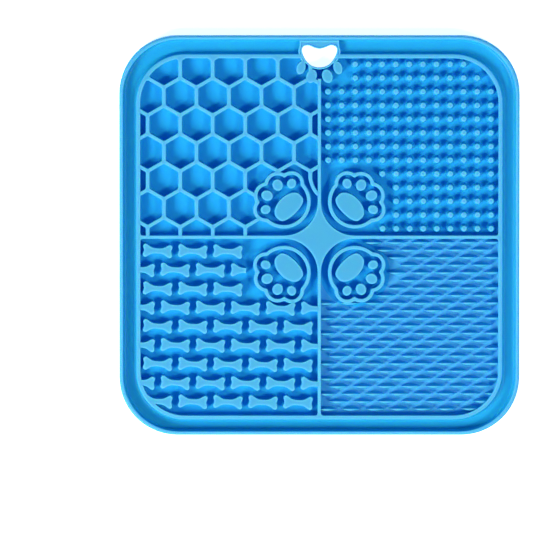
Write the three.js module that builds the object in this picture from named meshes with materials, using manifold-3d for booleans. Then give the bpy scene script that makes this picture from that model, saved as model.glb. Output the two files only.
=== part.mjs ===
// Square silicone lick mat for pets, moulded in one piece: a raised rim with a groove inside it,
// four pockets with honeycomb, pegs, bones and fins, a paw in each pocket and a paw-shaped hang hole.
// Millimetres, +Z up. The origin is the middle of the flat underside, and +Y runs to the hang hole.
// Shapes are drawn about the point where the two dividers cross, just below the middle of the outline.
import * as THREE from "three";
import { ConvexGeometry } from "three/addons/geometries/ConvexGeometry.js";
import { mergeGeometries, mergeVertices } from "three/addons/utils/BufferGeometryUtils.js";
import Module from "manifold-3d";

const wasm = await Module();
wasm.setup();

// Overall size, and heights above the surface that the mat lies on
const side = 200;
const outlineShift = 0.9; // how far the outline's middle lies above the crossing of the dividers
const floorTop = 2;
const ribTop = 6.6;
const finTop = 5.8;
const rimTop = 9;
const root = 0.5; // how far each raised form runs down into the floor
const spare = 1; // how far each cut runs past the face that it opens

// Rim, groove and field wall from the outside in, as rounded squares one inside the other;
// drift is the share of the outline's shift that a row has given up for the crossing's own middle
const cornerSteps = 7;
const border = [
  { inset: 0, height: 0, radius: 29, drift: 0 },
  { inset: 0, height: 7.9, radius: 29, drift: 0 },
  { inset: 0.9, height: rimTop, radius: 28.4, drift: 0 },
  { inset: 2.1, height: rimTop, radius: 27.5, drift: 0 },
  { inset: 4.1, height: 4.5, radius: 26.4, drift: 0 },
  { inset: 5.2, height: 4.1, radius: 25.8, drift: 0.3 },
  { inset: 7, height: 5, radius: 24.9, drift: 0.7 },
  { inset: 8.6, height: ribTop, radius: 24.3, drift: 1 },
];

// Pockets, the dividers between them and the star where the dividers cross
const fieldHalf = 89.45;
const fieldRadius = 22.3;
const dividerHalf = 0.85;
const dividerEnd = 79.3; // the upright divider stops here, short of the hang hole
const pawCentre = 17.75;
const starRadius = pawCentre - dividerHalf;
const overlap = 0.5; // how far clipped forms reach into the wall or divider that cuts them

// Honeycomb
const cellPitch = 16.25;
const cellRib = 2;
const cellDraft = 0.5;
const cellFirst = { x: -12.65, y: 83.8 };
const cellRows = 7;
const cellColumns = 7;
const cellSides = 6;
const bentRib = { inner: 16.6, outer: 18.4, from: 5, to: 46, steps: 6 };
const clearSector = { radius: 17.3, from: -138, to: 44, steps: 20 };

// Pegs
const peg = { tip: 1.35, foot: 1.75, sides: 6, pitchX: 6.755, pitchY: 6.833, x: 4.55, y: 86.1 };
const pegRows = [
  { rows: 1, first: 2, last: 10 },
  { rows: 1, first: 2, last: 11 },
  { rows: 6, first: 0, last: 12 },
  { rows: 1, first: 4, last: 12 },
  { rows: 3, first: 5, last: 12 },
  { rows: 1, first: 4, last: 12 },
];

// Bones, with a quarter of their outline as distances from the middle
const bone = { pitchX: 17.45, pitchY: 9.42, x: -79.95, y: -7.45, tilt: -3.5 };
const boneQuarter = [
  { x: 7.5, y: 2.1 },
  { x: 6, y: 3.3 },
  { x: 2.1, y: 1.45 },
];
const boneNotch = 7;
const boneRows = [
  { rows: 1, shift: 0, count: 3 },
  { rows: 1, shift: -0.5, count: 3 },
  { rows: 1, shift: 0, count: 3 },
  { rows: 1, shift: -0.5, count: 6 },
  { rows: 1, shift: 0, count: 5 },
  { rows: 1, shift: -0.5, count: 6 },
  { rows: 1, shift: 0, count: 5 },
  { rows: 1, shift: -0.5, count: 6 },
  { rows: 1, shift: 0, count: 5 },
];
// The one bone that is shortened by the room left round the paw
const cutBone = { column: 2.5, row: 1, clearance: 19, sides: 40 };

// Fins
const fin = { half: 4.9, crestHalf: 3.3, crestShift: 0.15, south: 1.4, north: 0.95 };
const finGrid = { pitchX: 11.95, pitchY: 3.773, x: 4.05, y: -3.4, columns: 8, rows: 23 };
const finStarts = [24, 30, 36, 42, 36, 42, 36, 30]; // beside the paw a row's first fin is past this x

// Paws: a ring round a pad and four toes
const ringWidth = 2.1;
const pawRadius = 13.5;
const pawSides = 18;
const lobeSides = 10;
const pawToes = [
  { x: 20.85, y: 26.1, lobe: 6.7, long: 3, wide: 2.65 },
  { x: 26.1, y: 20.85, lobe: 6.7, long: 3, wide: 2.65 },
  { x: 13.85, y: 26.85, lobe: 6.3, long: 2.6, wide: 2.3 },
  { x: 26.85, y: 13.85, lobe: 6.3, long: 2.6, wide: 2.3 },
];
const pad = { middle: 22, outward: 4.9, inward: 4.4, flatness: 0.55, half: 8.3, steps: 14 };

// Hang hole with its collar, the boss that joins it to the rim and the four toes below it
const holeHalf = [
  { x: 0, y: 94.55 },
  { x: 2.6, y: 94.9 },
  { x: 5.4, y: 95.8 },
  { x: 7.7, y: 95.2 },
  { x: 8.75, y: 93.2 },
  { x: 7.9, y: 89.8 },
  { x: 5.7, y: 86.4 },
  { x: 3.1, y: 84.6 },
  { x: 0, y: 84.15 },
];
const collarWidth = 1.6;
const boss = { half: 10.1, low: 91, high: 98.6 };
const hangToes = [
  { x: 9.2, y: 84.4, long: 3.15, wide: 2.1, lean: 18 },
  { x: 3.9, y: 80.7, long: 3.6, wide: 2.55, lean: 20 },
];
const toeSteps = 8;

const quadrants = [
  { signX: -1, signY: 1 },
  { signX: 1, signY: 1 },
  { signX: -1, signY: -1 },
  { signX: 1, signY: -1 },
];

// Points of an arc, angles in degrees
function arc(x, y, radius, from, to, steps) {
  const points = [];
  for (let i = 0; i <= steps; i++) {
    const angle = THREE.MathUtils.degToRad(from + ((to - from) * i) / steps);
    points.push(new THREE.Vector2(x + radius * Math.cos(angle), y + radius * Math.sin(angle)));
  }
  return points;
}

function ellipse(x, y, long, wide, lean, steps) {
  const turn = THREE.MathUtils.degToRad(lean);
  const points = [];
  for (let i = 0; i < steps; i++) {
    const angle = (2 * Math.PI * i) / steps;
    const point = new THREE.Vector2(wide * Math.cos(angle), long * Math.sin(angle));
    points.push(point.rotateAround(new THREE.Vector2(), turn).add(new THREE.Vector2(x, y)));
  }
  return points;
}

function mirrored(points, signX, signY) {
  return points.map((point) => new THREE.Vector2(point.x * signX, point.y * signY));
}

// An outline that stands straight up between two heights
function slab(outline, low, high) {
  const settings = { depth: high - low, bevelEnabled: false };
  return new THREE.ExtrudeGeometry(new THREE.Shape(outline), settings).translate(0, 0, low);
}

// A round post or pit, with its own radius at each height
function post(x, y, lowRadius, highRadius, low, high, sides) {
  const upright = new THREE.CylinderGeometry(highRadius, lowRadius, high - low, sides);
  return upright.rotateX(Math.PI / 2).translate(x, y, (low + high) / 2);
}

// Closed geometries that stand apart, as one body that can be joined and cut
function solid(geometries) {
  const bare = geometries.map((geometry) => {
    const copy = geometry.clone();
    copy.deleteAttribute("normal");
    copy.deleteAttribute("uv");
    return mergeVertices(copy);
  });
  const merged = mergeGeometries(bare);
  const mesh = new wasm.Mesh({
    numProp: 3,
    vertProperties: new Float32Array(merged.attributes.position.array),
    triVerts: new Uint32Array(merged.index.array),
  });
  return new wasm.Manifold(mesh);
}

// Geometries that may run into each other, joined
function joined(geometries) {
  return geometries.map((geometry) => solid([geometry])).reduce((whole, next) => whole.add(next));
}

// A corner at each end of both sides of a rounded square, counter-clockwise
function roundedSquare(half, radius, middleY) {
  const reach = half - radius;
  return [
    arc(reach, middleY + reach, radius, 0, 90, cornerSteps),
    arc(-reach, middleY + reach, radius, 90, 180, cornerSteps),
    arc(-reach, middleY - reach, radius, 180, 270, cornerSteps),
    arc(reach, middleY - reach, radius, 270, 360, cornerSteps),
  ].flat();
}

// The slab with its rim and groove, filled to the top of the ribs inside the field wall
function makeBase() {
  const rings = border.map((row) => ({
    points: roundedSquare(side / 2 - row.inset, row.radius, outlineShift * (1 - row.drift)),
    height: row.height,
  }));
  const count = rings[0].points.length;
  const positions = rings.flatMap((ring) => ring.points.flatMap((p) => [p.x, p.y, ring.height]));
  const faces = [];
  for (let level = 0; level < rings.length - 1; level++) {
    for (let i = 0; i < count; i++) {
      const low = level * count + i;
      const lowNext = level * count + ((i + 1) % count);
      faces.push(low, lowNext, lowNext + count, low, lowNext + count, low + count);
    }
  }
  const topStart = (rings.length - 1) * count;
  for (const [a, b, c] of THREE.ShapeUtils.triangulateShape(rings[0].points, [])) {
    faces.push(c, b, a);
    faces.push(topStart + a, topStart + b, topStart + c);
  }
  const geometry = new THREE.BufferGeometry();
  geometry.setAttribute("position", new THREE.Float32BufferAttribute(positions, 3));
  geometry.setIndex(faces);
  return solid([geometry]);
}

// One pocket, its corner at the star drawn in and its outer corner round
function pocketOutline(quadrant, grow) {
  const near = dividerHalf - grow;
  const far = fieldHalf + grow;
  const outer = far - fieldRadius;
  const points = [
    new THREE.Vector2(far, near),
    ...arc(outer, outer, fieldRadius, 0, 90, cornerSteps),
    new THREE.Vector2(near, far),
    ...arc(pawCentre, pawCentre, starRadius + grow, 180, 270, cornerSteps),
  ];
  return mirrored(points, quadrant.signX, quadrant.signY);
}

function pocket(quadrant) {
  return solid([slab(pocketOutline(quadrant, 0), floorTop, ribTop + spare)]);
}

// Where forms of a pocket may stand: the pocket and a little of the walls round it
function pocketRoom(quadrant) {
  return solid([slab(pocketOutline(quadrant, overlap), floorTop - spare, rimTop)]);
}

// The discs that make a paw's outline, each drawn in by the same amount
function pawDiscs(quadrant, drawnIn, low, high) {
  const discs = [{ x: pawCentre, y: pawCentre, lobe: pawRadius, sides: pawSides }];
  for (const toe of pawToes) {
    discs.push({ x: toe.x, y: toe.y, lobe: toe.lobe, sides: lobeSides });
  }
  return joined(discs.map((disc) => {
    const radius = disc.lobe - drawnIn;
    const x = disc.x * quadrant.signX;
    const y = disc.y * quadrant.signY;
    return post(x, y, radius, radius, low, high, disc.sides);
  }));
}

function pawRing(quadrant) {
  const whole = pawDiscs(quadrant, 0, floorTop - root, ribTop);
  return whole.subtract(pawDiscs(quadrant, ringWidth, floorTop - spare, ribTop + spare));
}

// The pad is flat toward the crossing and arched toward the toes
function padOutline(quadrant) {
  const points = [];
  for (let i = 0; i < pad.steps; i++) {
    const angle = (2 * Math.PI * i) / pad.steps;
    const cosine = Math.cos(angle);
    const inward = pad.inward * Math.pow(Math.abs(cosine), pad.flatness);
    const along = pad.middle + (cosine > 0 ? pad.outward * cosine : -inward);
    const across = pad.half * Math.sin(angle);
    points.push(new THREE.Vector2((along + across) / Math.SQRT2, (along - across) / Math.SQRT2));
  }
  return mirrored(points, quadrant.signX, quadrant.signY);
}

function pawInside(quadrant) {
  const toes = pawToes.map((toe) => {
    const lean = THREE.MathUtils.radToDeg(Math.atan2(toe.y - pawCentre, toe.x - pawCentre)) - 90;
    const outline = ellipse(toe.x, toe.y, toe.long, toe.wide, lean, toeSteps);
    return slab(mirrored(outline, quadrant.signX, quadrant.signY), floorTop - root, ribTop);
  });
  return solid([slab(padOutline(quadrant), floorTop - root, ribTop), ...toes]);
}

// What is taken out of the top left pocket: the cells, the paw's place and the room beside the star
function honeycombCut(quadrant) {
  const flat = cellPitch - cellRib;
  const wide = flat / Math.sqrt(3);
  const slope = cellDraft / (ribTop - floorTop);
  const rowPitch = (cellPitch * Math.sqrt(3)) / 2;
  const cells = [];
  for (let row = 0; row < cellRows; row++) {
    const rowShift = row % 2 ? cellPitch / 2 : cellPitch;
    for (let column = 0; column < cellColumns; column++) {
      const x = cellFirst.x + rowShift - column * cellPitch;
      const y = cellFirst.y - row * rowPitch;
      const mouth = wide + slope * spare;
      cells.push(post(x, y, wide - cellDraft, mouth, floorTop, ribTop + spare, cellSides));
    }
  }
  const middle = new THREE.Vector2(-pawCentre, pawCentre);
  const { radius, from, to, steps } = clearSector;
  const sector = [middle, ...arc(middle.x, middle.y, radius, from, to, steps)];
  const bend = [
    ...arc(middle.x, middle.y, bentRib.inner, bentRib.from, bentRib.to, bentRib.steps),
    ...arc(middle.x, middle.y, bentRib.outer, bentRib.to, bentRib.from, bentRib.steps),
  ];
  return solid(cells)
    .add(solid([slab(sector, floorTop, ribTop + spare)]))
    .add(pawDiscs(quadrant, ringWidth / 2, floorTop, ribTop + spare))
    .subtract(solid([slab(bend, floorTop - spare, rimTop)]))
    .intersect(pocket(quadrant));
}

function makePegs() {
  const pegs = [];
  let row = 0;
  for (const band of pegRows) {
    for (let i = 0; i < band.rows; i++) {
      for (let column = band.first; column <= band.last; column++) {
        const x = peg.x + column * peg.pitchX;
        const y = peg.y - row * peg.pitchY;
        pegs.push(post(x, y, peg.foot, peg.tip, floorTop - root, ribTop, peg.sides));
      }
      row++;
    }
  }
  return solid(pegs);
}

function boneOutline(x, y) {
  const right = [
    ...boneQuarter.toReversed().map((point) => new THREE.Vector2(point.x, point.y)),
    new THREE.Vector2(boneNotch, 0),
    ...boneQuarter.map((point) => new THREE.Vector2(point.x, -point.y)),
  ];
  const left = right.map((point) => new THREE.Vector2(-point.x, -point.y));
  const turn = THREE.MathUtils.degToRad(bone.tilt);
  const middle = new THREE.Vector2(x, y);
  return [...right, ...left].map((point) => point.rotateAround(new THREE.Vector2(), turn).add(middle));
}

function boneAt(column, row) {
  const outline = boneOutline(bone.x + column * bone.pitchX, bone.y - row * bone.pitchY);
  return slab(outline, floorTop - root, ribTop);
}

function makeBones(quadrant) {
  const bones = boneRows.flatMap((band, row) => {
    const columns = Array.from({ length: band.count }, (unused, i) => i + band.shift);
    return columns.map((column) => boneAt(column, row));
  });
  const middle = { x: pawCentre * quadrant.signX, y: pawCentre * quadrant.signY };
  const { column, row, clearance, sides } = cutBone;
  const room = post(middle.x, middle.y, clearance, clearance, floorTop - spare, rimTop, sides);
  const shortened = solid([boneAt(column, row)]).subtract(solid([room]));
  return solid(bones).add(shortened).intersect(pocketRoom(quadrant));
}

// A fin is a blade with pointed ends, steep to the north and sloped to the south
function makeFins(quadrant) {
  const corners = [
    new THREE.Vector3(-fin.half, 0, floorTop),
    new THREE.Vector3(fin.half, 0, floorTop),
    new THREE.Vector3(0, -fin.south, floorTop),
    new THREE.Vector3(0, fin.north, floorTop),
    new THREE.Vector3(-fin.crestHalf, fin.crestShift, finTop),
    new THREE.Vector3(fin.crestHalf, fin.crestShift, finTop),
  ];
  const blade = new ConvexGeometry(corners);
  const fins = [];
  for (let row = 0; row < finGrid.rows; row++) {
    for (let column = 0; column < finGrid.columns; column++) {
      const x = finGrid.x + (column + (row % 2) / 2) * finGrid.pitchX;
      if (x > (finStarts[row] ?? 0) && x < fieldHalf) {
        fins.push(blade.clone().translate(x, finGrid.y - row * finGrid.pitchY, 0));
      }
    }
  }
  return solid(fins).intersect(pocketRoom(quadrant));
}

// The outline of the hang hole, or of its collar when it is swollen
function holeOutline(swell) {
  const left = holeHalf.slice(1, -1).reverse();
  const points = [
    ...holeHalf.map((point) => new THREE.Vector2(point.x, point.y)),
    ...left.map((point) => new THREE.Vector2(-point.x, point.y)),
  ];
  return points.map((point, i) => {
    const before = points[(i + points.length - 1) % points.length];
    const after = points[(i + 1) % points.length];
    const along = after.clone().sub(before).normalize();
    return point.clone().add(new THREE.Vector2(-along.y, along.x).multiplyScalar(swell));
  });
}

function makeHanger() {
  const { half, low, high } = boss;
  const bridge = [
    new THREE.Vector2(-half, low),
    new THREE.Vector2(half, low),
    new THREE.Vector2(half, high),
    new THREE.Vector2(-half, high),
  ];
  const toes = hangToes.flatMap((toe) => [
    ellipse(toe.x, toe.y, toe.long, toe.wide, toe.lean, toeSteps),
    ellipse(-toe.x, toe.y, toe.long, toe.wide, -toe.lean, toeSteps),
  ]);
  const outlines = [holeOutline(collarWidth), bridge, ...toes];
  return joined(outlines.map((outline) => slab(outline, floorTop - root, ribTop)));
}

// Opens the upright divider above its end, where the two top pockets run together
function dividerGap() {
  const outline = [
    new THREE.Vector2(-dividerHalf - overlap, dividerEnd),
    new THREE.Vector2(dividerHalf + overlap, dividerEnd),
    new THREE.Vector2(dividerHalf + overlap, fieldHalf - spare),
    new THREE.Vector2(-dividerHalf - overlap, fieldHalf - spare),
  ];
  return solid([slab(outline, floorTop, ribTop + spare)]);
}

function makeMat() {
  const [topLeft, topRight, bottomLeft, bottomRight] = quadrants;
  let mat = makeBase().subtract(honeycombCut(topLeft)).subtract(dividerGap());
  for (const quadrant of [topRight, bottomLeft, bottomRight]) {
    mat = mat.subtract(pocket(quadrant));
  }
  mat = mat.add(makePegs()).add(makeBones(bottomLeft)).add(makeFins(bottomRight)).add(makeHanger());
  for (const quadrant of quadrants) {
    mat = mat.add(pawRing(quadrant)).add(pawInside(quadrant));
  }
  return mat.subtract(solid([slab(holeOutline(0), -spare, rimTop + spare)]));
}

function toGeometry(body) {
  const mesh = body.getMesh();
  const geometry = new THREE.BufferGeometry();
  geometry.setAttribute("position", new THREE.BufferAttribute(mesh.vertProperties, 3));
  geometry.setIndex(new THREE.BufferAttribute(mesh.triVerts, 1));
  geometry.computeVertexNormals();
  return geometry;
}

const silicone = new THREE.MeshStandardMaterial({ color: 0x2aa3ea, roughness: 0.45, metalness: 0 });
const mat = new THREE.Mesh(toGeometry(makeMat()), silicone);
mat.name = "mat";
mat.position.y = -outlineShift;

const group = new THREE.Group();
group.add(mat);

export default group;
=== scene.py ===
import math
import bpy
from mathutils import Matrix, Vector


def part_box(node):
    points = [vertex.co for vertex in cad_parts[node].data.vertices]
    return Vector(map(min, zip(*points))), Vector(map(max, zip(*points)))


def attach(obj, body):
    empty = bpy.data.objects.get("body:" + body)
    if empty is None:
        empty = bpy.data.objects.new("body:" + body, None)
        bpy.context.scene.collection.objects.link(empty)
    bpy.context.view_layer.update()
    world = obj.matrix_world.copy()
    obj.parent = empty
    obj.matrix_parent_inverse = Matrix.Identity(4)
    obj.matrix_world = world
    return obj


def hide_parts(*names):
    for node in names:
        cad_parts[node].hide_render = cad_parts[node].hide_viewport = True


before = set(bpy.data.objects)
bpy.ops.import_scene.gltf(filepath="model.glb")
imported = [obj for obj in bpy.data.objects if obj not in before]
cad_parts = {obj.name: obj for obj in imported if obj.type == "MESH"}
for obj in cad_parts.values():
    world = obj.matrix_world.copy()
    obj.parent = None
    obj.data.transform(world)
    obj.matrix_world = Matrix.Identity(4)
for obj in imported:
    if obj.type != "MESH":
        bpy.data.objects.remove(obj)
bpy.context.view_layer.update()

mm = 0.001
matLow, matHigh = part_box("mat")

# heights and places are millimetres about the point where the two dividers cross
mat = {
    "side": (matHigh[0] - matLow[0]) / mm,
    "rimTop": (matHigh[2] - matLow[2]) / mm,
    "outlineShift": 0.9,       # the outline's middle lies this far above the crossing
    "floorTop": 2.0,
    "ribTop": 6.6,
    "root": 0.4,               # how far raised forms run down into the floor
    "spare": 1.5,              # how far cutters run past the top
    "through": 1.0,            # how far cutters that go right through run past both faces
    "skim": 0.015,             # keeps a fillet from ending exactly on a flat face
    "sharpest": 0.8,           # keeps a growing outline from shooting out at a sharp corner
    "cornerSteps": 14,
    "smoothAngle": 50,         # edges with a sharper bend stay crisp
}
crossing = ((matLow[0] + matHigh[0]) / 2, (matLow[1] + matHigh[1]) / 2 - mat["outlineShift"] * mm)


# outlines, counter-clockwise lists of (x, y)

def arcPoints(x, y, radius, start, stop, steps):
    angles = [math.radians(start + (stop - start) * i / steps) for i in range(steps + 1)]
    return [(x + radius * math.cos(angle), y + radius * math.sin(angle)) for angle in angles]


def ellipsePoints(x, y, along, across, lean, steps):
    turn = math.radians(lean)
    points = []
    for i in range(steps):
        angle = 2 * math.pi * i / steps
        u, v = across * math.cos(angle), along * math.sin(angle)
        points.append((x + u * math.cos(turn) - v * math.sin(turn),
                       y + u * math.sin(turn) + v * math.cos(turn)))
    return points


def splinePoints(controls, perSpan, closed=True):    # a smooth curve through the control points
    count = len(controls)
    points = []
    for i in range(count if closed else count - 1):
        if closed:
            four = [controls[(i + k - 1) % count] for k in range(4)]
        else:
            four = [controls[min(max(i + k - 1, 0), count - 1)] for k in range(4)]
        for step in range(perSpan):
            t = step / perSpan
            weights = ((-t + 2 * t ** 2 - t ** 3) / 2, (2 - 5 * t ** 2 + 3 * t ** 3) / 2,
                       (t + 4 * t ** 2 - 3 * t ** 3) / 2, (t ** 3 - t ** 2) / 2)
            points.append(tuple(sum(w * p[axis] for w, p in zip(weights, four)) for axis in (0, 1)))
    if not closed:
        points.append(controls[-1])
    return points


def swollen(points, grow):                # every point moves out along the outline's normal
    count = len(points)
    moved = []
    for i, (x, y) in enumerate(points):
        before, after = points[i - 1], points[(i + 1) % count]
        intoX, intoY = x - before[0], y - before[1]
        outX, outY = after[0] - x, after[1] - y
        intoLength, outLength = math.hypot(intoX, intoY), math.hypot(outX, outY)
        normalX = intoY / intoLength + outY / outLength
        normalY = -intoX / intoLength - outX / outLength
        size = normalX ** 2 + normalY ** 2
        share = 2 * grow / max(size, mat["sharpest"])
        moved.append((x + normalX * share, y + normalY * share))
    return moved


def sidePoints(path, offset):             # the line beside an open path, to its right
    moved = []
    for i, (x, y) in enumerate(path):
        before, after = path[max(i - 1, 0)], path[min(i + 1, len(path) - 1)]
        alongX, alongY = after[0] - before[0], after[1] - before[1]
        length = math.hypot(alongX, alongY)
        moved.append((x + alongY / length * offset, y - alongX / length * offset))
    return moved


def placed(points, signX=1, signY=1, x=0, y=0, turn=0):
    angle = math.radians(turn)
    cosine, sine = math.cos(angle), math.sin(angle)
    out = [(x + signX * (u * cosine - v * sine), y + signY * (u * sine + v * cosine)) for u, v in points]
    return out if signX * signY > 0 else out[::-1]


# sections, lists of (how far the outline grows, height)

def quarterTurn(steps=3):
    return [math.pi / 2 * i / steps for i in range(steps + 1)]


def raisedSection(sizes, steps=3):    # a form that stands on the floor
    low, top = mat["floorTop"], mat["ribTop"]
    edge, draft, foot = sizes["edge"], sizes["draft"], sizes["foot"]
    rows = [(draft + foot, low - mat["root"])]
    for angle in quarterTurn(steps):
        rows.append((draft + foot * (1 - math.sin(angle)), low - mat["skim"] + foot * (1 - math.cos(angle))))
    for angle in quarterTurn(steps):
        rows.append((-edge * (1 - math.cos(angle)), top - edge + edge * math.sin(angle)))
    return rows


def mouthSection(edge):    # the rounded mouth of a hollow
    start = mat["ribTop"] - edge + mat["skim"]
    return [(edge * (1 - math.cos(angle)), start + edge * math.sin(angle)) for angle in quarterTurn()]


def cutSection(sizes):    # a hollow with a rounded floor edge and a rounded mouth
    edge, draft, foot = sizes["edge"], sizes["draft"], sizes["foot"]
    rows = []
    for angle in quarterTurn():
        rows.append((-draft - foot * (1 - math.sin(angle)), mat["floorTop"] + foot * (1 - math.cos(angle))))
    return rows + mouthSection(edge) + [(edge, mat["ribTop"] + mat["spare"])]


# bodies, closed meshes that are joined and cut

class Shell:
    def __init__(self):
        self.points = []
        self.faces = []

    def loft(self, outlineAt, section):    # one closed form, a ring of points for each row of the section
        start = len(self.points)
        rings = [[(x, y, height) for x, y in outlineAt(grow)] for grow, height in section]
        count = len(rings[0])
        for ring in rings:
            self.points.extend(ring)
        for level in range(len(rings) - 1):
            base = start + level * count
            for i in range(count):
                after = (i + 1) % count
                self.faces.append((base + i, base + after, base + count + after, base + count + i))
        self.faces.append(tuple(range(start + count - 1, start - 1, -1)))
        self.faces.append(tuple(range(len(self.points) - count, len(self.points))))
        return self

    def body(self, name):
        mesh = bpy.data.meshes.new(name)
        placedPoints = [(x * mm + crossing[0], y * mm + crossing[1], z * mm) for x, y, z in self.points]
        mesh.from_pydata(placedPoints, [], self.faces)
        mesh.update()
        piece = bpy.data.objects.new(name, mesh)
        bpy.context.scene.collection.objects.link(piece)
        return piece


def form(name, outlineAt, section):
    return Shell().loft(outlineAt, section).body(name)


def combine(piece, operation, tool):    # joins, cuts or clips the piece with the tool, which it uses up
    step = piece.modifiers.new("combine", "BOOLEAN")
    step.operation = operation
    step.solver = "MANIFOLD"
    step.object = tool
    graph = bpy.context.evaluated_depsgraph_get()
    result = bpy.data.meshes.new_from_object(piece.evaluated_get(graph))
    piece.modifiers.clear()
    spent = piece.data
    piece.data = result
    bpy.data.meshes.remove(spent)
    bpy.data.objects.remove(tool)
    return piece


def straight(outline):    # an outline that grows along its normals
    return lambda grow: swollen(outline, grow)


# the slab with its rim, groove and field wall

rim = {
    "crossSection": [             # distance in from the outer edge, height
        (0.35, 0.0), (0.0, 0.45), (0.0, 3.5), (0.0, 7.0), (0.12, 8.2), (0.4, 8.75), (0.85, 9.0), (1.55, 9.0),
        (1.95, 8.7), (2.12, 7.9), (2.2, 6.5), (2.35, 5.0), (2.75, 4.35), (3.6, 4.1), (5.2, 4.0), (6.6, 4.0),
        (7.5, 4.15), (7.95, 4.65), (8.2, 5.7), (8.45, 6.4), (8.85, 6.6),
    ],
    "smoothness": 3,
    "outerRadius": 29.0,
    "wallRadius": 24.3,
    "wallInset": 8.6,
    "driftStart": 4.1,            # inside this inset the outline's middle moves to the crossing
}


def roundedSquare(half, radius, middleY):
    reach = half - radius
    steps = mat["cornerSteps"]
    return (arcPoints(reach, middleY + reach, radius, 0, 90, steps)
            + arcPoints(-reach, middleY + reach, radius, 90, 180, steps)
            + arcPoints(-reach, middleY - reach, radius, 180, 270, steps)
            + arcPoints(reach, middleY - reach, radius, 270, 360, steps))


def rimRing(inset):
    share = min(inset / rim["wallInset"], 1)
    drift = min(max((inset - rim["driftStart"]) / (rim["wallInset"] - rim["driftStart"]), 0), 1)
    radius = rim["outerRadius"] + (rim["wallRadius"] - rim["outerRadius"]) * share
    return roundedSquare(mat["side"] / 2 - inset, radius, mat["outlineShift"] * (1 - drift))


def makeSlab():
    section = splinePoints(rim["crossSection"], rim["smoothness"], closed=False)
    section = [(max(inset, 0), min(max(height, 0), mat["rimTop"])) for inset, height in section]
    return form("mat", rimRing, section)


# pockets, dividers and the star

pocket = {
    "half": 89.45,
    "outerRadius": 22.3,
    "plainRadius": 1.2,
    "plainSteps": 3,
    "dividerHalf": 0.85,
    "dividerEnd": 79.3,
    "gapShort": 1.0,              # the gap above the divider's end stops this far inside the wall
    "pawCentre": 17.75,
    "edge": 0.3,
    "draft": 0.1,
    "foot": 0.3,
    "reach": 0.5,                 # how far clipped forms run into the walls
}
quadrants = {"honeycomb": (-1, 1), "pegs": (1, 1), "bones": (-1, -1), "fins": (1, -1)}


def pocketOutline(signs, grow):
    near, far = pocket["dividerHalf"] - grow, pocket["half"] + grow
    centre, small = pocket["pawCentre"], pocket["plainRadius"] + grow
    outer = pocket["outerRadius"] + grow
    steps, plainSteps = mat["cornerSteps"], pocket["plainSteps"]
    points = (arcPoints(far - small, near + small, small, -90, 0, plainSteps)
              + arcPoints(far - outer, far - outer, outer, 0, 90, steps)
              + arcPoints(near + small, far - small, small, 90, 180, plainSteps)
              + arcPoints(centre, centre, centre - near, 180, 270, steps))
    return placed(points, *signs)


def pocketCutter(signs):
    return form("pocket", lambda grow: pocketOutline(signs, grow), cutSection(pocket))


def pocketRoom(signs):    # where the forms of a pocket may stand
    section = [(pocket["reach"], mat["floorTop"] - mat["spare"]), (pocket["reach"], mat["rimTop"])]
    return form("room", lambda grow: pocketOutline(signs, grow), section)


def dividerGap():    # opens the upright divider above its end
    half = pocket["dividerHalf"] + 2 * pocket["reach"]
    low, high = pocket["dividerEnd"], pocket["half"] - pocket["gapShort"]
    outline = [(-half, low), (half, low), (half, high), (-half, high)]
    return form("gap", straight(outline), cutSection(pocket))


# paws

paw = {
    "centre": pocket["pawCentre"],
    "radius": 13.5,
    "ringWidth": 1.9,
    "toes": [                     # place, lobe radius, half length and half width of the toe
        (20.85, 26.1, 6.7, 3.0, 2.65), (26.1, 20.85, 6.7, 3.0, 2.65),
        (13.85, 26.85, 6.3, 2.6, 2.3), (26.85, 13.85, 6.3, 2.6, 2.3),
    ],
    "padMiddle": 22.0,
    "padOutward": 5.1,
    "padInward": 5.1,
    "padFlatness": 0.55,
    "padHalf": 8.3,
    "steps": 96,
    "padSteps": 36,
    "toeSteps": 20,
    "lookFrom": 2.5,              # the outline is drawn round a point this far beyond the middle
    "sharpness": 2.6,             # how sharply neighbouring lobes meet, and what part of the blend is kept
    "blendShare": 0.25,
    "clear": 17.5,                # the painted light on the fins' floor starts this far from the middle
    "edge": 0.35,
    "draft": 0.08,
    "foot": 0.2,
}


def pawOutline(grow):    # the union of the paw's discs, seen from its middle
    discs = [(paw["centre"], paw["centre"], paw["radius"])] + [toe[:3] for toe in paw["toes"]]
    middle = paw["centre"] + paw["lookFrom"]
    points = []
    for i in range(paw["steps"]):
        angle = 2 * math.pi * i / paw["steps"]
        exits = []
        for x, y, radius in discs:
            along = (x - middle) * math.cos(angle) + (y - middle) * math.sin(angle)
            across = (y - middle) * math.cos(angle) - (x - middle) * math.sin(angle)
            inside = (radius + grow) ** 2 - across ** 2
            if inside > 0:
                exits.append(along + math.sqrt(inside))
        farthest = max(exits)
        total = sum(math.exp((reach - farthest) * paw["sharpness"]) for reach in exits)
        reach = farthest + math.log(total) / paw["sharpness"] * paw["blendShare"]
        points.append((middle + reach * math.cos(angle), middle + reach * math.sin(angle)))
    return points


def padOutline(grow):
    points = []
    for i in range(paw["padSteps"]):
        angle = 2 * math.pi * i / paw["padSteps"]
        cosine = math.cos(angle)
        inward = -paw["padInward"] * abs(cosine) ** paw["padFlatness"]
        along = paw["padMiddle"] + (paw["padOutward"] * cosine if cosine > 0 else inward)
        across = -paw["padHalf"] * math.sin(angle)
        points.append(((along + across) / math.sqrt(2), (along - across) / math.sqrt(2)))
    return swollen(points, grow)


def pawPlace(signs):    # clears the honeycomb out of the paw
    inset = paw["ringWidth"] / 2
    return form("pawPlace", lambda grow: placed(pawOutline(grow - inset), *signs), cutSection(paw))


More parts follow.
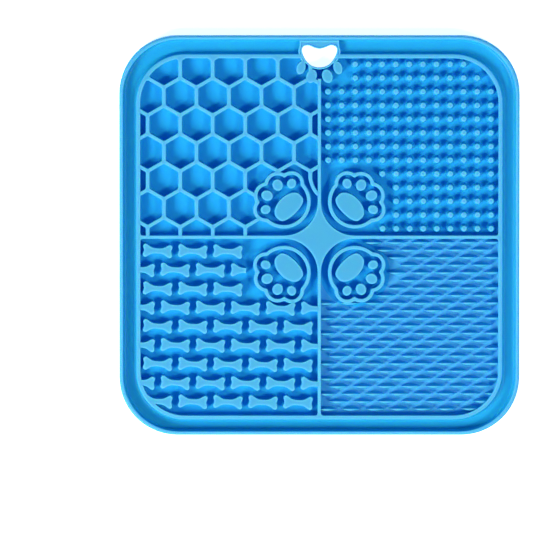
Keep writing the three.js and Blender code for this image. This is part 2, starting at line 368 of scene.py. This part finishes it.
def makePaw(signs):
    standing, width = raisedSection(paw), paw["ringWidth"]
    ring = form("paw", lambda grow: placed(pawOutline(grow), *signs), standing)
    hollow = form("pawInside", lambda grow: placed(pawOutline(grow - width), *signs), cutSection(paw))
    combine(ring, "DIFFERENCE", hollow)
    inside = Shell().loft(lambda grow: placed(padOutline(grow), *signs), standing)
    for x, y, lobe, along, across in paw["toes"]:
        lean = math.degrees(math.atan2(y - paw["centre"], x - paw["centre"])) - 90
        outline = placed(ellipsePoints(x, y, along, across, lean, paw["toeSteps"]), *signs)
        inside.loft(straight(outline), standing)
    return combine(ring, "UNION", inside.body("padAndToes"))


# honeycomb

comb = {
    "pitch": 16.25,
    "rowPitch": 13.97,
    "rib": 2.0,
    "firstX": -12.65,
    "firstY": 84.3,
    "rows": 7,
    "columns": 7,
    "cornerRadius": 1.1,
    "smallestRadius": 0.25,
    "cellCornerSteps": 3,
    "edge": 0.35,
    "draft": 0.1,
    "foot": 0.3,
    "bentPath": [(0.3, 20.8), (-0.75, 21.6), (-2.2, 23.35), (-3.35, 25.5), (-4.35, 28.6), (-4.7, 31.9)],
    "bentSmoothness": 3,
    "bentThinner": 0.05,          # how much slimmer than the others the bent rib is on each side
    "clearRadius": 17.4,          # the bare room beside the paw
    "clearFrom": -138,
    "clearTo": 43,
    "clearSteps": 24,
}


def cellOutline(x, y, grow):
    flat = (comb["pitch"] - comb["rib"]) / 2 + grow
    radius = max(comb["cornerRadius"] + grow, comb["smallestRadius"])
    reach = (flat - radius) * 2 / math.sqrt(3)
    points = []
    for corner in range(6):
        angle = 90 + 60 * corner
        centreX = x + reach * math.cos(math.radians(angle))
        centreY = y + reach * math.sin(math.radians(angle))
        points += arcPoints(centreX, centreY, radius, angle - 30, angle + 30, comb["cellCornerSteps"])
    return points


def makeHoneycombCut():
    signs = quadrants["honeycomb"]
    section = cutSection(comb)
    cells = Shell()
    for row in range(comb["rows"]):
        shift = comb["pitch"] / 2 if row % 2 else comb["pitch"]
        for column in range(comb["columns"]):
            x = comb["firstX"] + shift - column * comb["pitch"]
            y = comb["firstY"] - row * comb["rowPitch"]
            cells.loft(lambda grow: cellOutline(x, y, grow), section)
    cut = cells.body("cells")
    centreX, centreY = -paw["centre"], paw["centre"]
    arc = arcPoints(centreX, centreY, comb["clearRadius"], comb["clearFrom"], comb["clearTo"],
                    comb["clearSteps"])
    combine(cut, "UNION", form("clear", straight([(centreX, centreY)] + arc), section))
    combine(cut, "UNION", pawPlace(signs))
    return combine(cut, "INTERSECT", pocketCutter(signs))


def makeBentRib():
    half = comb["rib"] / 2 - comb["bentThinner"]
    path = splinePoints(comb["bentPath"], comb["bentSmoothness"], closed=False)
    outline = sidePoints(path, half) + sidePoints(path, -half)[::-1]
    rib = form("bentRib", straight(outline), raisedSection(comb))
    return combine(rib, "INTERSECT", pocketRoom(quadrants["honeycomb"]))


# pegs

peg = {
    "radius": 1.62,
    "pitchX": 6.766,
    "pitchY": 6.853,
    "firstX": 4.67,
    "firstY": 86.55,
    "lean": -0.004,               # how far the columns lean to the right as they rise
    "rows": [(2, 10), (2, 11)] + [(0, 12)] * 6 + [(4, 12)] + [(5, 12)] * 3 + [(4, 12)],    # first, last
    "sides": 14,
    "roundingSteps": 4,
    "edge": 0.6,
    "draft": 0.35,
    "foot": 0.4,
}


def pegOutline(x, y, grow):
    radius = peg["radius"] + grow
    return ellipsePoints(x, y, radius, radius, 0, peg["sides"])


def makePegs():
    pegs = Shell()
    section = raisedSection(peg, peg["roundingSteps"])
    for row, (first, last) in enumerate(peg["rows"]):
        y = peg["firstY"] - row * peg["pitchY"]
        for column in range(first, last + 1):
            x = peg["firstX"] + column * peg["pitchX"] + y * peg["lean"]
            pegs.loft(lambda grow: pegOutline(x, y, grow), section)
    return pegs.body("pegs")


# bones

bone = {
    "quarter": [(7.3, 1.5), (7.3, 2.6), (6.4, 3.4), (5.25, 3.1), (3.6, 2.05), (1.85, 1.5)],
    "notch": 6.85,
    "waist": 1.42,
    "smoothness": 2,
    "tilt": -3.5,
    "pitchX": 17.55,
    "pitchY": 9.44,
    "firstX": -80.85,
    "firstY": -7.6,
    "rise": -0.0088,              # how far a row rises to the right
    "rows": [                     # shift, count
        (0, 3), (-0.5, 3), (0, 3), (-0.5, 6), (0, 5), (-0.5, 6), (0, 5), (-0.5, 6), (0, 5),
    ],
    "shortened": (2.5, 1),        # column and row of the bone that the paw's clearance cuts
    "clearance": 19.0,
    "clearanceSteps": 60,
    "edge": 0.35,
    "draft": 0.12,
    "foot": 0.25,
}


def boneOutline(column, row):
    quarter = bone["quarter"]
    controls = [(bone["notch"], 0)] + quarter + [(0, bone["waist"])]
    controls += [(-x, y) for x, y in reversed(quarter)] + [(-bone["notch"], 0)]
    controls += [(-x, -y) for x, y in quarter] + [(0, -bone["waist"])]
    controls += [(x, -y) for x, y in reversed(quarter)]
    x = bone["firstX"] + column * bone["pitchX"]
    y = bone["firstY"] - row * bone["pitchY"] + x * bone["rise"]
    return placed(splinePoints(controls, bone["smoothness"]), x=x, y=y, turn=bone["tilt"])


def makeBones():
    section = raisedSection(bone)
    bones = Shell()
    for row, (shift, count) in enumerate(bone["rows"]):
        for column in range(count):
            bones.loft(straight(boneOutline(column + shift, row)), section)
    column, row = bone["shortened"]
    short = form("shortBone", straight(boneOutline(column, row)), section)
    middle, radius = -paw["centre"], bone["clearance"]
    circle = ellipsePoints(middle, middle, radius, radius, 0, bone["clearanceSteps"])
    clear = form("clearance", straight(circle), [(0, -mat["through"]), (0, mat["rimTop"])])
    combine(short, "DIFFERENCE", clear)
    whole = combine(bones.body("bones"), "UNION", short)
    return combine(whole, "INTERSECT", pocketRoom(quadrants["bones"]))


# fins

fin = {
    "half": 5.2,
    "south": 1.5,
    "north": 1.38,
    "top": 5.95,
    "drop": 0.9,                  # how much lower the right end of the crest is than the left
    "crestShift": 0.1,
    "crestHalf": 4.1,
    "crestSouth": 0.85,
    "crestNorth": 0.12,
    "skew": 0.2,                  # its south side is fuller on the left, its north side on the right
    "pitchX": 11.95,
    "pitchY": 3.796,
    "firstX": 3.1,
    "firstY": -2.92,
    "lean": -0.0111,              # how far the columns lean to the right as they rise
    "rise": 0.0037,               # how far a row rises to the right
    "columns": 8,
    "rows": 23,
    "starts": [24, 30, 36, 42, 36, 42, 36, 30],    # beside the paw a row's first fin is past this
    "steps": 9,
    "rootShare": -0.1,            # share of the way from the outline at the floor to the one at the crest
    "flank": [(0.0, 0.0), (0.3, 0.6), (0.6, 1.6), (0.83, 2.7)],    # share, height above the floor
    "crest": [(0.95, 0.25), (1.03, 0.06), (1.12, 0.0)],            # share, depth below the top
}


def finOutline(x, y, share):    # share is 0 at the floor and 1 at the crest
    half = fin["half"] + (fin["crestHalf"] - fin["half"]) * share
    south = fin["south"] * (1 - share) + fin["crestSouth"] * share
    north = fin["north"] * (1 - share) + fin["crestNorth"] * share
    middle = y + fin["crestShift"] * share
    points = []
    for i in range(fin["steps"]):
        along = -1 + 2 * i / fin["steps"]
        points.append((x + half * along, middle - south * (1 - along ** 2) * (1 - fin["skew"] * along)))
    for i in range(fin["steps"]):
        along = 1 - 2 * i / fin["steps"]
        points.append((x + half * along, middle + north * (1 - along ** 2) * (1 + fin["skew"] * along)))
    return points


def leaning(points, x):    # lowers a fin's crest towards its right end
    low, high = mat["floorTop"], fin["top"]
    lowered = []
    for pointX, pointY, height in points:
        share = max(height - low, 0) / (high - low)
        along = (pointX - x + fin["half"]) / (2 * fin["half"])
        lowered.append((pointX, pointY, height - fin["drop"] * share * along))
    return lowered


def makeFins():
    section = [(fin["rootShare"], mat["floorTop"] - mat["root"])]
    section += [(share, mat["floorTop"] + height) for share, height in fin["flank"]]
    section += [(share, fin["top"] - depth) for share, depth in fin["crest"]]
    fins = Shell()
    for row in range(fin["rows"]):
        start = fin["starts"][row] if row < len(fin["starts"]) else 0
        rowY = fin["firstY"] - row * fin["pitchY"]
        for column in range(fin["columns"]):
            x = fin["firstX"] + (column + (row % 2) / 2) * fin["pitchX"] + rowY * fin["lean"]
            y = rowY + x * fin["rise"]
            if start < x < pocket["half"]:
                first = len(fins.points)
                fins.loft(lambda share: finOutline(x, y, share), section)
                fins.points[first:] = leaning(fins.points[first:], x)
    return combine(fins.body("fins"), "INTERSECT", pocketRoom(quadrants["fins"]))


# hang hole

hanger = {
    "holeHalf": [(0, 94.2), (2.6, 94.75), (5.4, 95.9), (7.7, 95.5), (8.75, 93.9), (8.45, 91.8), (7.5, 89.6),
                 (5.9, 87.2), (4.0, 85.7), (2.0, 84.95), (0, 84.7)],
    "collar": 0.75,
    "bossHalf": [(9.9, 98.6), (9.9, 96.6), (10.1, 95.0), (10.6, 93.4), (10.4, 91.6), (9.6, 89.4), (8.3, 87.5),
                 (6.0, 86.6)],
    "bossRim": 0.8,
    "bossDrop": 0.4,              # the boss lies this far below its rim and the collar
    "recess": [(-0.2, 0.0), (-0.06, 0.06), (0.0, 0.2)],    # growth, height above the boss
    "recessMouth": 0.1,
    "smoothness": 3,
    "toes": [                     # place, half length and width, lean
        (9.2, 84.75, 3.4, 2.25, 17), (3.95, 80.55, 3.55, 2.65, 19),
    ],
    "toeSteps": 24,
    "edge": 0.3,
    "draft": 0.08,
    "foot": 0.2,
}


def holeOutline(grow):
    half = hanger["holeHalf"]
    controls = [(-x, y) for x, y in half] + half[-2:0:-1]
    return swollen(splinePoints(controls, hanger["smoothness"]), grow)


def bossOutline(grow):
    half = splinePoints(hanger["bossHalf"], hanger["smoothness"], closed=False)
    return swollen(half[::-1] + [(-x, y) for x, y in half], grow)


def makeHanger():
    standing = raisedSection(hanger)
    low = mat["ribTop"] - hanger["bossDrop"]
    piece = form("hanger", bossOutline, standing)
    recess = [(grow, low + height) for grow, height in hanger["recess"]]
    recess.append((hanger["recessMouth"], mat["rimTop"]))
    combine(piece, "DIFFERENCE", form("recess", lambda grow: bossOutline(grow - hanger["bossRim"]), recess))
    combine(piece, "UNION", form("collar", lambda grow: holeOutline(hanger["collar"] + grow), standing))
    for x, y, along, across, lean in hanger["toes"]:
        for sign in (-1, 1):
            toe = ellipsePoints(sign * x, y, along, across, sign * lean, hanger["toeSteps"])
            combine(piece, "UNION", form("hangToe", straight(toe), standing))
    return piece


def makeHole():
    edge = hanger["edge"]
    section = [(edge, -mat["through"])]
    for angle in quarterTurn():
        section.append((edge * (1 - math.sin(angle)), -mat["skim"] + edge * (1 - math.cos(angle))))
    section += mouthSection(edge)
    section.append((edge, mat["rimTop"] + mat["through"]))
    return form("hole", holeOutline, section)


def makeMat():
    piece = makeSlab()
    print("slab with rim and groove")
    combine(piece, "DIFFERENCE", makeHoneycombCut())
    combine(piece, "DIFFERENCE", dividerGap())
    for name in ("pegs", "bones", "fins"):
        combine(piece, "DIFFERENCE", pocketCutter(quadrants[name]))
    combine(piece, "UNION", makeBentRib())
    print("pockets and honeycomb")
    combine(piece, "UNION", makePegs())
    combine(piece, "UNION", makeBones())
    combine(piece, "UNION", makeFins())
    print("pegs, bones and fins")
    for signs in quadrants.values():
        combine(piece, "UNION", makePaw(signs))
    combine(piece, "UNION", makeHanger())
    combine(piece, "DIFFERENCE", makeHole())
    print("paws and hang hole")
    return piece


def softShading(piece, angle):    # smooth edges, with the flat faces kept flat
    mesh = piece.data
    mesh.polygons.foreach_set("use_smooth", [True] * len(mesh.polygons))
    mesh.set_sharp_from_angle(angle=math.radians(angle))
    weighted = piece.modifiers.new("weighted", "WEIGHTED_NORMAL")
    weighted.keep_sharp = True
    graph = bpy.context.evaluated_depsgraph_get()
    piece.data = bpy.data.meshes.new_from_object(piece.evaluated_get(graph))
    piece.modifiers.clear()


# materials

class Wire:    # a socket in a shader, with arithmetic
    def __init__(self, tree, socket=None):
        self.tree = tree
        self.socket = socket

    def node(self, kind, settings, inputs, output=0):
        made = self.tree.nodes.new(kind)
        for name, value in settings.items():
            setattr(made, name, value)
        for name, value in inputs.items():
            if isinstance(value, Wire):
                self.tree.links.new(value.socket, made.inputs[name])
            else:
                made.inputs[name].default_value = value
        return Wire(self.tree, made.outputs[output] if made.outputs else None)

    def maths(self, operation, first, second):
        return self.node("ShaderNodeMath", {"operation": operation}, {0: first, 1: second})

    def __add__(self, other):
        return self.maths("ADD", self, other)

    def __radd__(self, other):
        return self.maths("ADD", other, self)

    def __sub__(self, other):
        return self.maths("SUBTRACT", self, other)

    def __rsub__(self, other):
        return self.maths("SUBTRACT", other, self)

    def __mul__(self, other):
        return self.maths("MULTIPLY", self, other)

    def __rmul__(self, other):
        return self.maths("MULTIPLY", other, self)

    def mixed(self, factor, first, second):    # colours
        settings = {"data_type": "RGBA", "blend_type": "MIX"}
        return self.node("ShaderNodeMix", settings, {0: factor, 6: first, 7: second}, 2)

    def axis(self, name):
        return self.node("ShaderNodeSeparateXYZ", {}, {0: self}, name)

    def rising(self, start, full):    # 0 at the start, 1 where it is full, soft at both ends
        return self.node("ShaderNodeMapRange", {"interpolation_type": "SMOOTHSTEP"}, {
            "Value": self, "From Min": start, "From Max": full})


def newMaterial(name):
    material = bpy.data.materials.new(name)
    material.use_nodes = True
    tree = material.node_tree
    tree.nodes.clear()
    return material, Wire(tree)


silicone = {
    "deep": (0.016, 0.4, 0.71, 1),
    "deepLight": (0.016, 0.425, 0.73, 1),
    "top": (0.095, 0.46, 0.7, 1),       # painted light: raised faces that face up, made paler as if lit from above
    "thin": (0.165, 0.62, 0.84, 1),     # painted glow: thin ribs, tips and edges made paler, as if light shone through them
    "paintedFinFloorLight": (0.08, 0.455, 0.73, 1),     # painted light: the open floor between the fins made paler, as if lit
    "paleFrom": 0.0023,           # heights, in metres
    "paleTo": 0.0040,
    "topLightFrom": 0.0050,
    "topLightTo": 0.0058,
    "paleSpare": 0.2,             # how far the painted floor light runs into the outer wall's foot
    "levelFrom": 0.7,             # how level a face is where the painted top light starts, and where it is full
    "levelTo": 0.97,
    "thickness": 0.0016,
    "thicknessSamples": 8,
    "thinFrom": 1.0,              # how much of the thickness is solid
    "thinTo": 0.5,
    "roughness": 0.42,
    "roughnessSpread": 0.1,
    "shine": 0.25,
    "refraction": 1.41,
    "glow": 0.6,                  # light that travels inside the silicone, blue the farthest
    "glowReach": (0.03, 0.15, 1.0),
    "glowScale": 0.004,
    "clouds": 28.0,               # broad cloudiness in the moulding, features per metre
    "cloudDetail": 3,
    "cloudMiddle": 0.5,
    "grain": 2600.0,              # fine skin of the mould
    "grainDetail": 2,
    "grainDepth": 0.00002,
    "grainStrength": 0.3,
}


def paintedLightBetweenFins(wire, place, height):    # painted light: the floor round the fins, clear of dividers, wall and paw, made paler as if lit; the fins' flanks above it keep the darker colour
    centre = paw["centre"] * mm
    pawMiddle = (crossing[0] + centre, crossing[1] - centre, mat["floorTop"] * mm)
    fromPaw = wire.node("ShaderNodeVectorMath", {"operation": "DISTANCE"}, {0: place, 1: pawMiddle}, 1)
    low = height.rising(silicone["paleTo"], silicone["paleFrom"])
    mask = low * wire.maths("LESS_THAN", paw["clear"] * mm, fromPaw)
    cornerReach = 0
    for distance in (place.axis("X") - crossing[0], crossing[1] - place.axis("Y")):
        mask = mask * wire.maths("GREATER_THAN", distance, pocket["dividerHalf"] * mm)
        beyond = wire.maths("MAXIMUM", distance - (pocket["half"] - pocket["outerRadius"]) * mm, 0)
        cornerReach = beyond * beyond + cornerReach
    radius = (pocket["outerRadius"] + silicone["paleSpare"]) * mm
    return mask * wire.maths("LESS_THAN", cornerReach, radius ** 2)


def makeSilicone():
    material, wire = newMaterial("silicone")
    place = wire.node("ShaderNodeTexCoord", {}, {}, "Object")
    height = place.axis("Z")
    clouds = wire.node("ShaderNodeTexNoise", {}, {
        "Vector": place, "Scale": silicone["clouds"], "Detail": silicone["cloudDetail"]})
    grain = wire.node("ShaderNodeTexNoise", {}, {
        "Vector": place, "Scale": silicone["grain"], "Detail": silicone["grainDetail"]})
    # painted light: raised faces that face up take the paler top colour, as if lit from above
    facing = wire.node("ShaderNodeNewGeometry", {}, {}, "Normal").axis("Z")
    level = facing.rising(silicone["levelFrom"], silicone["levelTo"])
    paintedTopLight = level * height.rising(silicone["topLightFrom"], silicone["topLightTo"])
    # painted glow: where the silicone is thin the colour turns paler, as if light came through it
    settings = {"inside": True, "only_local": True, "samples": silicone["thicknessSamples"]}
    filled = wire.node("ShaderNodeAmbientOcclusion", settings, {"Distance": silicone["thickness"]}, "AO")
    thin = filled.rising(silicone["thinFrom"], silicone["thinTo"])
    colour = wire.mixed(clouds, silicone["deep"], silicone["deepLight"])
    # painted light: the floor between the fins takes a paler colour
    colour = wire.mixed(paintedLightBetweenFins(wire, place, height), colour, silicone["paintedFinFloorLight"])
    colour = wire.mixed(paintedTopLight, colour, wire.mixed(thin, silicone["top"], silicone["thin"]))
    roughness = silicone["roughness"] + (clouds - silicone["cloudMiddle"]) * silicone["roughnessSpread"]
    bump = wire.node("ShaderNodeBump", {}, {
        "Strength": silicone["grainStrength"], "Distance": silicone["grainDepth"], "Height": grain})
    surface = wire.node("ShaderNodeBsdfPrincipled", {}, {
        "Base Color": colour, "Roughness": roughness, "Normal": bump, "IOR": silicone["refraction"],
        "Specular IOR Level": silicone["shine"],
        "Subsurface Weight": silicone["glow"], "Subsurface Radius": silicone["glowReach"],
        "Subsurface Scale": silicone["glowScale"]})
    wire.node("ShaderNodeOutputMaterial", {}, {"Surface": surface})
    return material


paper = {
    "colour": (0.9, 0.9, 0.9, 1),
    "roughness": 0.9,
    "glow": (1, 1, 1, 1),
    "backlight": 0.85,
}


def makePaper():
    material, wire = newMaterial("paper")
    surface = wire.node("ShaderNodeBsdfPrincipled", {}, {
        "Base Color": paper["colour"], "Roughness": paper["roughness"],
        "Emission Color": paper["glow"], "Emission Strength": paper["backlight"]})
    wire.node("ShaderNodeOutputMaterial", {}, {"Surface": surface})
    return material


# floor, lights and camera

stage = {"half": 1.6}    # metres


def makeFloor():
    half = stage["half"]
    mesh = bpy.data.meshes.new("floor")
    corners = [(-half, -half, 0), (half, -half, 0), (half, half, 0), (-half, half, 0)]
    mesh.from_pydata(corners, [], [(0, 1, 2, 3)])
    floor = bpy.data.objects.new("floor", mesh)
    bpy.context.scene.collection.objects.link(floor)
    mesh.materials.append(makePaper())


lamps = {                         # degrees, metres and watts
    "right": {"azimuth": -28, "elevation": 48.5, "distance": 2.5, "size": 0.45, "power": 25.2},
    "left": {"azimuth": 215, "elevation": 34, "distance": 2.5, "size": 1.05, "power": 72.5},
    "world": 0.2,
    "worldColour": (0.08, 0.88, 1.35, 1),
}


def makeLamp(name):
    choice = lamps[name]
    azimuth, elevation = math.radians(choice["azimuth"]), math.radians(choice["elevation"])
    away = Vector((math.cos(azimuth) * math.cos(elevation), math.sin(azimuth) * math.cos(elevation),
                   math.sin(elevation)))
    light = bpy.data.lights.new(name, "AREA")
    light.shape = "DISK"
    light.size = choice["size"]
    light.energy = choice["power"]
    lamp = bpy.data.objects.new(name, light)
    lamp.location = away * choice["distance"]
    lamp.rotation_euler = away.to_track_quat("Z", "Y").to_euler()
    bpy.context.scene.collection.objects.link(lamp)


def makeWorld():
    world = bpy.data.worlds.new("studio")
    bpy.context.scene.world = world
    world.use_nodes = True
    background = world.node_tree.nodes["Background"]
    background.inputs["Color"].default_value = lamps["worldColour"]
    background.inputs["Strength"].default_value = lamps["world"]


view = {
    "x": -26.45,                  # the picture's middle on the mat, from the middle of its outline
    "y": -15.6,
    "width": 266.5,               # what the picture's width covers at the height of the ribs
    "distance": 5000.0,
    "tilt": 4.0,                  # how far the camera stands over to the hang hole's side, in degrees
    "sensor": 36.0,
    "clipEnd": 20.0,              # metres
}


def makeCamera():
    data = bpy.data.cameras.new("camera")
    data.sensor_width = view["sensor"]
    data.lens = view["sensor"] * view["distance"] / view["width"]
    data.clip_end = view["clipEnd"]
    camera = bpy.data.objects.new("camera", data)
    tilt = math.radians(view["tilt"])
    aim = Vector((view["x"], view["y"], mat["ribTop"]))
    camera.location = (aim + Vector((0, math.sin(tilt), math.cos(tilt))) * view["distance"]) * mm
    camera.rotation_euler = (-tilt, 0, 0)
    bpy.context.scene.collection.objects.link(camera)
    bpy.context.scene.camera = camera


bpy.context.scene.view_settings.view_transform = "Standard"
makeCamera()
makeWorld()
makeLamp("right")
makeLamp("left")
makeFloor()
print("camera, lights and floor")

lickMat = makeMat()
softShading(lickMat, mat["smoothAngle"])
lickMat.data.materials.clear()
lickMat.data.materials.append(makeSilicone())
lickMat.name = "lickMat"
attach(lickMat, "root")
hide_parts("mat")
lickMat.data.calc_loop_triangles()
print("mat with", len(lickMat.data.loop_triangles), "triangles")
